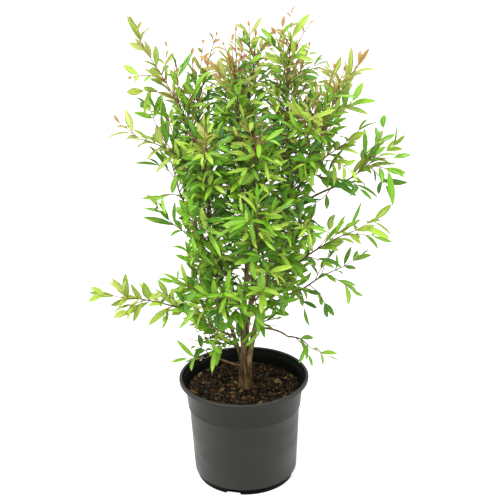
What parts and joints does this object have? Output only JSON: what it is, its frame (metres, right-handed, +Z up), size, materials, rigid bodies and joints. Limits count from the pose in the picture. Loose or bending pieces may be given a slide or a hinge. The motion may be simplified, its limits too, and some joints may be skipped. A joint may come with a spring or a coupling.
{
  "type": "pomegranate tree",
  "caption": "Young bushy pomegranate tree with several slim stems and narrow leaves, standing in a round black nursery pot filled with bark compost.",
  "frame": {"origin": "centre of the pot's flat underside", "axes": "+Z up along the pot's axis, -Y to the front, +X to the right seen from the front"},
  "size_m": [0.425, 0.2899, 0.6985],
  "materials": {
    "pot": "satin moulded black polypropylene",
    "soil": "moist dark brown bark compost with chips and fibres",
    "bark": "fibrous light brown bark on the trunk, redder and smoother on young stems",
    "foliage": "narrow glossy green leaves, bronze at the youngest tips"
  },
  "bodies": {
    "root": {"pot": "pot", "soil": "soil", "trunk": "bark", "stem_back": "bark", "stem_back_left": "bark", "stem_far_left": "bark", "stem_front": "bark", "stem_left": "bark", "stem_middle": "bark", "stem_right": "bark", "bough_low_left": "bark", "bough_low_right": "bark", "bough_right_lower": "bark", "bough_right_middle": "bark", "bough_right_upper": "bark", "bough_soil_left": "bark", "bough_upper_right": "bark", "foliage_back": "foliage", "foliage_back_left": "foliage", "foliage_back_right": "foliage", "foliage_far_left": "foliage", "foliage_front": "foliage", "foliage_front_left": "foliage", "foliage_front_right": "foliage", "foliage_inner_left": "foliage", "foliage_left": "foliage", "foliage_left_upper": "foliage", "foliage_low_back_left": "foliage", "foliage_low_back_right": "foliage", "foliage_low_front_left": "foliage", "foliage_low_front_right": "foliage", "foliage_low_left": "foliage", "foliage_low_left_front": "foliage", "foliage_low_left_tip": "foliage", "foliage_low_right": "foliage", "foliage_low_right_front": "foliage", "foliage_low_right_tip": "foliage", "foliage_right_lower": "foliage", "foliage_right_middle": "foliage", "foliage_right_tip": "foliage", "foliage_shoulder": "foliage", "foliage_shoulder_top": "foliage", "foliage_soil_left": "foliage", "foliage_top_back_right": "foliage", "foliage_top_front": "foliage", "foliage_top_front_right": "foliage", "foliage_top_left": "foliage", "foliage_top_middle": "foliage", "foliage_top_right": "foliage", "foliage_upper_back": "foliage", "foliage_upper_front": "foliage", "foliage_upper_front_left": "foliage", "foliage_upper_left": "foliage", "foliage_upper_right": "foliage"}
  },
  "joints": []
}
